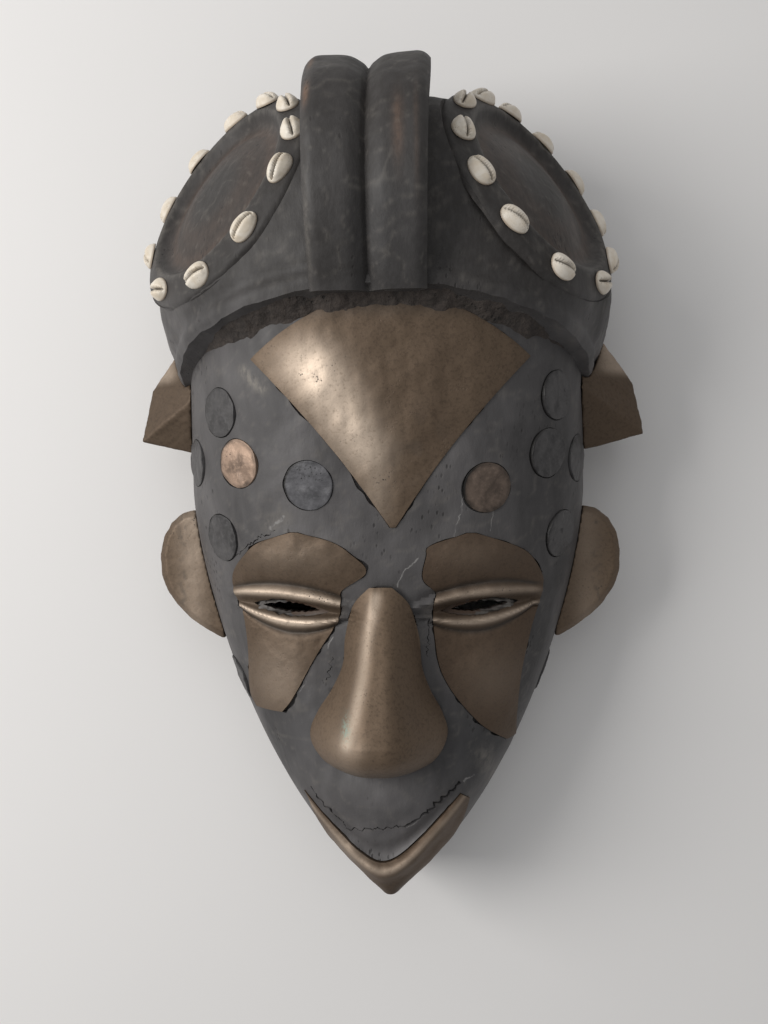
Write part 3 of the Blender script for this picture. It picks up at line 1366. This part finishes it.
class MASK_OT_studs(bpy.types.Operator):
    """Model one round stud and let twelve copies into the brow, temples and cheeks"""

    bl_idname = "mask.studs"
    bl_label = "Studs"

    def execute(self, context):
        size = {"radius": STUD_DIAMETER / 2 * MM, "depth": STUD_THICKNESS * MM}
        pattern = added(bpy.ops.mesh.primitive_cylinder_add, "stud_pattern", vertices=72, **size)
        bpy.ops.object.mode_set(mode="EDIT")
        bpy.ops.mesh.select_all(action="DESELECT")
        bpy.ops.object.mode_set(mode="OBJECT")
        for face in pattern.data.polygons:
            face.select = face.normal.z > 0.9
        bpy.ops.object.mode_set(mode="EDIT")
        bpy.ops.mesh.select_mode(type="FACE")
        for step, rise in STUD_RINGS:
            bpy.ops.mesh.inset(thickness=step * MM, depth=0)
            bpy.ops.transform.translate(value=(0, 0, rise * MM))
        bpy.ops.object.mode_set(mode="OBJECT")
        applied(pattern, "BEVEL", width=0.25 * MM, segments=2, limit_method="ANGLE", angle_limit=math.radians(50))
        applied(pattern, "SUBSURF", levels=1, render_levels=1)
        finish = context.scene.mask_finish
        dark = stud_finish("dark_stud", (0.072, 0.068, 0.068), 0.2)
        brown = between(finish.copper, (0.05, 0.045, 0.042), 0.7)
        looks = {
            "left_stud_1": stud_finish("grey_stud", (0.115, 0.113, 0.12), 0.3),
            "left_stud_2": stud_finish("copper_stud", finish.copper, 0.45),
            "right_stud_1": stud_finish("brown_stud", brown, 0.5),
        }
        for name, side in SIDES.items():
            for number, (x, s) in enumerate(STUDS[name]):
                node = f"{name}_stud_{number + 1}"
                stud = copy_of(pattern, f"{node}_disc")
                points = points_of(stud)
                edge = np.hypot(points[:, 0], points[:, 1])
                relief = waves(points, (0.3, 13, 130 + number + 7 * side), (0.1, 5, 150 + number))
                points[:, 2] += relief * smooth(0, 1, points[:, 2]) - (STUD_THICKNESS / 2 - STUD_PROUD) - STUD_SUNK
                move_points(stud, points)
                placed(stud, stud_frame(side, x, s))
                points = points_of(stud)
                low = smooth(0.2, 0.9, (points - points.mean(axis=0)) @ np.array((-0.95, 0.3, 0)) / edge.clip(1))
                copper = node in COPPER_STUDS
                ring = 0.35 if copper else 0.1
                marked(stud, grimy=ring * smooth(11.2, 12.4, edge) + (1 - ring) * low * smooth(12.6, 13.4, edge))
                shaded(stud, 35)
                finish_piece(stud, looks.get(node, dark), "copper_stud" if copper else "dark_stud", node)
        bpy.data.objects.remove(pattern, do_unlink=True)
        return {"FINISHED"}


class MASK_OT_cowries(bpy.types.Operator):
    """Model one toothed cowrie and set copies of it round both rims"""

    bl_idname = "mask.cowries"
    bl_label = "Cowries"

    def execute(self, context):
        def from_slot(x, along):
            return x - (0.5 * np.sin(2.4 * along) + 0.25)

        ball = {"segments": 76, "ring_count": 44, "radius": 1}
        pattern = added(bpy.ops.mesh.primitive_uv_sphere_add, "cowrie_pattern", **ball)
        across, up, along = points_of(pattern).T * MM
        x = signed_power(across, 0.92) * (SHELL_WIDTH / 2 * (1 + 0.13 * along))
        z = along * SHELL_LENGTH / 2
        near = from_slot(x, along)
        closing = smooth(1.0, 0.82, np.abs(along))
        lips = 0.75 * swell((np.abs(near) - 2.7) / 1.7) * closing
        slot = 2.6 * swell(near / 0.62) * closing
        teeth = 0.3 * np.cos(2 * np.pi * z / TOOTH_PITCH) * swell((np.abs(near) - 1.35) / 0.75) * closing
        rise = SHELL_RISE * np.maximum(up, 0) ** 0.85 + (lips - slot + teeth) * smooth(0.25, 0.6, up)
        y = np.where(up > 0, rise - 0.75 * smooth(0, 0.5, up), 0.25 * up)
        move_points(pattern, stack(x, np.maximum(y, -0.25), z))
        close_up(pattern)
        x, y, z = points_of(pattern).T
        near = from_slot(x, z / (SHELL_LENGTH / 2))
        reach = smooth(9.2, 7.6, np.abs(z)) * smooth(0.6, 1.8, y)
        gaps = swell((np.abs(near) - 1.25) / 0.6) * np.clip(-np.cos(2 * np.pi * z / TOOTH_PITCH), 0, 1) * 0.55
        marked(pattern, slot=(swell(near / 0.55) + gaps) * reach, edge=smooth(1.6, 0.2, y))
        material = shell_finish()
        for name, side in SIDES.items():
            for number, bearing in enumerate(SHELLS[name]):
                node = f"{name}_cowrie_{number + 1}"
                shell = copy_of(pattern, f"{node}_shell")
                chance = np.random.default_rng(200 + number + 40 * (side > 0))
                turn = math.radians(-bearing if side > 0 else bearing - 180)
                seat = Matrix.Rotation(turn, 4, "Y") @ Matrix.Translation((RIM_CIRCLE * MM, RIM_TOP * MM, 0))
                lean = Matrix.Rotation(-RIM_SLOPE - math.radians(chance.uniform(-3, 6)), 4, "Z")
                seat = seat @ lean @ Matrix.Translation((0, 0.1 * MM, 0))
                sway = Matrix.Rotation(math.radians(chance.uniform(-13, 13)), 4, "Y")
                sway = sway @ Matrix.Rotation(math.pi * chance.integers(0, 2), 4, "Y")
                sizes = [chance.uniform(0.93, most) for most in (1.0, 1.02, 1.0)]
                placed(shell, medallion_frame(side) @ seat @ sway @ Matrix.Diagonal((*sizes, 1)))
                shaded(shell, 60)
                finish_piece(shell, material, "shell", node)
        bpy.data.objects.remove(pattern, do_unlink=True)
        return {"FINISHED"}


class MASK_OT_brim(bpy.types.Operator):
    """Press the rough filler into the corner between the brim and the forehead"""

    bl_idname = "mask.brim"
    bl_label = "Brim filler"

    def execute(self, context):
        def seam_s(x):
            s = np.full(x.shape, 0.7)
            for _ in range(12):
                z = face_point(angle_at(x, s), s)[:, 2]
                s = 0.5 * s + 0.5 * s_at(brim_y(x, z))
            return s

        def skin(top):
            def at(u, v):
                x = lerp(-0.87, 0.87, u) * HALF
                s = seam_s(x)
                along = stack(x, v * 30) * (1, 0)
                reach = 8 + waves(along, (2, 30, 161), (0.5, 9, 162))
                fade = smooth(0, 0.13, u) * smooth(1, 0.87, u)
                s = s + (6.5 - (reach * fade + 7) * (1 - v)) / LENGTH
                out = -2.5 + 0 * u
                if top:
                    lump = waves(stack(x, y_at(s)), (0.35, 9, 163), (0.25, 4, 164)) * smooth(0, 0.2, v)
                    out = (lerp(-0.8, 12.2, v**1.3) + lump) * (0.25 + 0.75 * fade)
                return off_face(angle_at(x, s), s, out, finely_carved)

            return at

        filler = sheet("brim_filler", skin(True), skin(False), 260, 16)
        shaded(filler, 60)
        filler.data.materials.append(filler_finish())
        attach(filler, "root")
        return {"FINISHED"}


class MASK_OT_stage(bpy.types.Operator):
    """Lay the pale floor, hang the soft light and set the camera"""

    bl_idname = "mask.stage"
    bl_label = "Floor, light and camera"

    def execute(self, context):
        stage = context.scene.mask_stage
        floor = added(bpy.ops.mesh.primitive_plane_add, "pale_floor", size=8, location=(0, 0, -0.0006))
        material = bpy.data.materials.new("pale_floor")
        material.use_nodes = True
        tree = material.node_tree
        shader = tree.nodes["Principled BSDF"]
        cloud = noise(tree, wire(tree, "ShaderNodeTexCoord").outputs["Object"], 5.0, 3.0)["Fac"]
        join(tree, mixed(tree, cloud, shade(stage.floor, 0.97), stage.floor), shader.inputs["Base Color"])
        shader.inputs["Roughness"].default_value = 0.9
        floor.data.materials.append(material)
        floor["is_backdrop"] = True
        world = bpy.data.worlds.new("soft_room")
        world.use_nodes = True
        sky = world.node_tree.nodes["Background"]
        sky.inputs["Color"].default_value = (0.98, 0.985, 1.0, 1)
        sky.inputs["Strength"].default_value = stage.sky
        context.scene.world = world
        for name, spot, size, power, tint in (
            ("key_light", (-1.15, 0.25, 1.05), 0.85, stage.key_power, (1, 0.985, 0.965)),
            ("top_light", (-0.2, 0.9, 1.6), 1.6, 0.3 * stage.key_power, (0.98, 0.99, 1)),
        ):
            lamp = added(bpy.ops.object.light_add, name, type="AREA", location=spot)
            lamp.data.size, lamp.data.energy, lamp.data.color = size, power, tint
            lamp.rotation_euler = (-Vector(spot)).to_track_quat("-Z", "Y").to_euler()
        camera = added(bpy.ops.object.camera_add, "front_camera")
        camera.data.lens = stage.lens
        camera.data.clip_start, camera.data.clip_end = 0.01, 20
        spot, aim = Vector((25.9, -15, 673)) * MM, Vector((-1, -15, 80)) * MM
        ahead = (aim - spot).normalized()
        right = ahead.cross(Vector((0.013, 1, 0))).normalized()
        up = right.cross(ahead)
        camera.matrix_world = Matrix([(right[k], up[k], -ahead[k], spot[k]) for k in range(3)] + [(0, 0, 0, 1)])
        context.scene.camera = camera
        context.scene.view_settings.view_transform = "Standard"
        return {"FINISHED"}


STEPS = (
    MASK_OT_stage,
    MASK_OT_body,
    MASK_OT_forehead,
    MASK_OT_eyes,
    MASK_OT_nose,
    MASK_OT_lip,
    MASK_OT_ears,
    MASK_OT_horns,
    MASK_OT_studs,
    MASK_OT_cowries,
    MASK_OT_brim,
)


class MASK_PT_panel(bpy.types.Panel):
    """Settings and steps of the mask"""

    bl_label = "Carved mask"
    bl_space_type = "VIEW_3D"
    bl_region_type = "UI"
    bl_category = "Mask"

    def draw(self, context):
        for group in (context.scene.mask_carving, context.scene.mask_finish, context.scene.mask_stage):
            box = self.layout.box()
            for name in group.__annotations__:
                box.prop(group, name)
        for step in STEPS:
            self.layout.operator(step.bl_idname)


GROUPS = {"mask_carving": CarvingSettings, "mask_finish": FinishSettings, "mask_stage": StageSettings}


def register():
    for kind in (*GROUPS.values(), *STEPS, MASK_PT_panel):
        bpy.utils.register_class(kind)
    for name, kind in GROUPS.items():
        setattr(bpy.types.Scene, name, PointerProperty(type=kind))


def unregister():
    for name in GROUPS:
        delattr(bpy.types.Scene, name)
    for kind in reversed((*GROUPS.values(), *STEPS, MASK_PT_panel)):
        bpy.utils.unregister_class(kind)


def main():
    register()
    for step in STEPS:
        family, name = step.bl_idname.split(".")
        getattr(getattr(bpy.ops, family), name)()
    boxes = {"cad": CAD_BOX, "visual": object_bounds()}
    {key: [list(corner) for corner in box] for key, box in boxes.items()}


if __name__ == "__main__":
    main()
